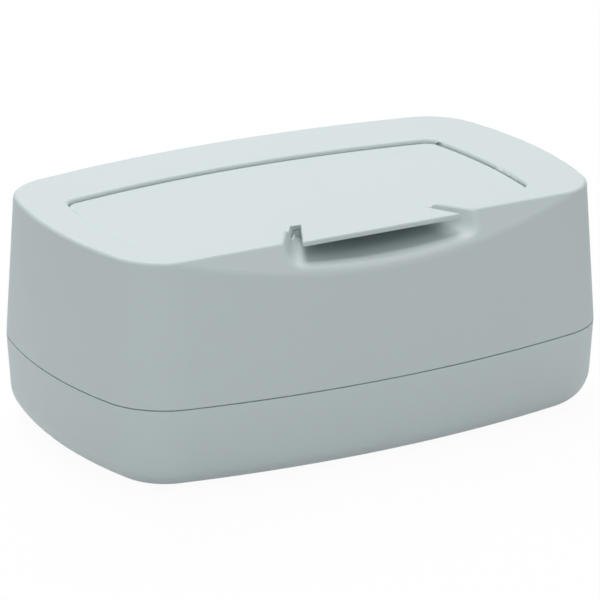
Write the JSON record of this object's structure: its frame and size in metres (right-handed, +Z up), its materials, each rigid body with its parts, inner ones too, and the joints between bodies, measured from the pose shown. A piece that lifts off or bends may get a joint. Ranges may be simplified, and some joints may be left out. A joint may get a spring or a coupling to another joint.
{
  "type": "baby wipes box",
  "caption": "Low bowed-sided plastic box for baby wipes, with a recessed flip lid, a flared finger tab over a scooped open pocket, and a weighted plate inside.",
  "frame": {"origin": "centre of the box on the plane of its feet", "axes": "+X along the box, +Z up, -Y the front with the finger tab"},
  "size_m": [0.23, 0.1472, 0.0934],
  "materials": {
    "shell_plastic": "fine moulded texture, matt",
    "inner_plastic": "plain moulded, satin",
    "silicone": "soft, slightly milky",
    "foot_rubber": "matt",
    "steel": "plain"
  },
  "bodies": {
    "tray": {"base_tray": "shell_plastic", "tray_seal": "silicone", "foot_front_left": "foot_rubber", "foot_front_right": "foot_rubber", "foot_rear_left": "foot_rubber", "foot_rear_right": "foot_rubber"},
    "cover": {"upper_cover": "shell_plastic", "hinge_pin_left": "steel", "hinge_pin_right": "steel"},
    "lid": {"lid": "shell_plastic", "lid_liner": "inner_plastic", "lid_seal": "silicone"},
    "plate": {"pressure_plate": "inner_plastic", "weight_left": "steel", "weight_right": "steel", "weight_cap_left": "inner_plastic", "weight_cap_right": "inner_plastic", "cap_screws": "steel"}
  },
  "joints": [
    {"name": "cover_lift", "type": "slide", "parent": "tray", "child": "cover", "axis": [0, 0, 1], "range_m": [0, 0.08]},
    {"name": "lid_hinge", "type": "hinge", "parent": "cover", "child": "lid", "pos_m": [-0.006, 0.0235, 0.09], "axis": [-1, 0, 0], "range_deg": [0, 95]},
    {"name": "plate_rise", "type": "slide", "parent": "tray", "child": "plate", "axis": [0, 0, 1], "range_m": [0, 0.055]}
  ]
}
